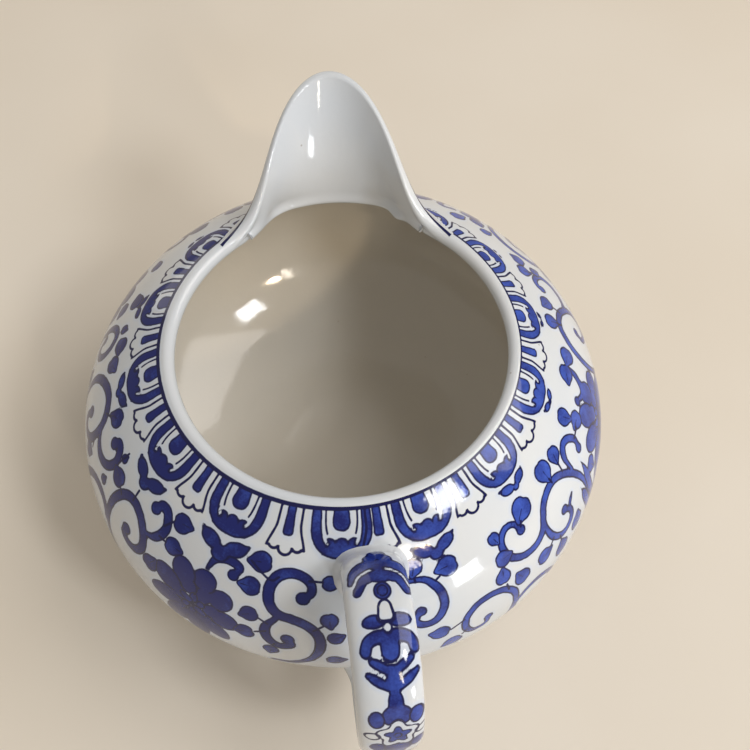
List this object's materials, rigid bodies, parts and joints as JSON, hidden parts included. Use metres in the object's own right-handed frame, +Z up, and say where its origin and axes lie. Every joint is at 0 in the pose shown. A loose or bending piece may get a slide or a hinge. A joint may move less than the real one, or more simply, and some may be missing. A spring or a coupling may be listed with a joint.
{
  "type": "cream jug",
  "caption": "Squat globe-shaped porcelain cream jug with a tall open beak spout, an ear-shaped strap handle and a low foot ring.",
  "frame": {"origin": "centre of the foot ring's resting face, on the bowl's axis", "axes": "+Z up along the bowl's axis, +Y from the handle towards the spout, +X to the right when looking from the handle"},
  "size_m": [0.096, 0.1124, 0.066],
  "materials": {
    "printed_porcelain": "clear gloss glaze over a cobalt blue print",
    "white_porcelain": "clear gloss glaze",
    "handle_porcelain": "clear gloss glaze over a cobalt blue print",
    "foot_porcelain": "glazed sides and a bare ground resting edge"
  },
  "bodies": {
    "root": {"body_shell": "printed_porcelain", "foot_ring": "foot_porcelain", "spout": "white_porcelain", "spout_seam": "white_porcelain", "handle": "handle_porcelain", "handle_upper_joint": "white_porcelain", "handle_lower_joint": "white_porcelain"}
  },
  "joints": []
}
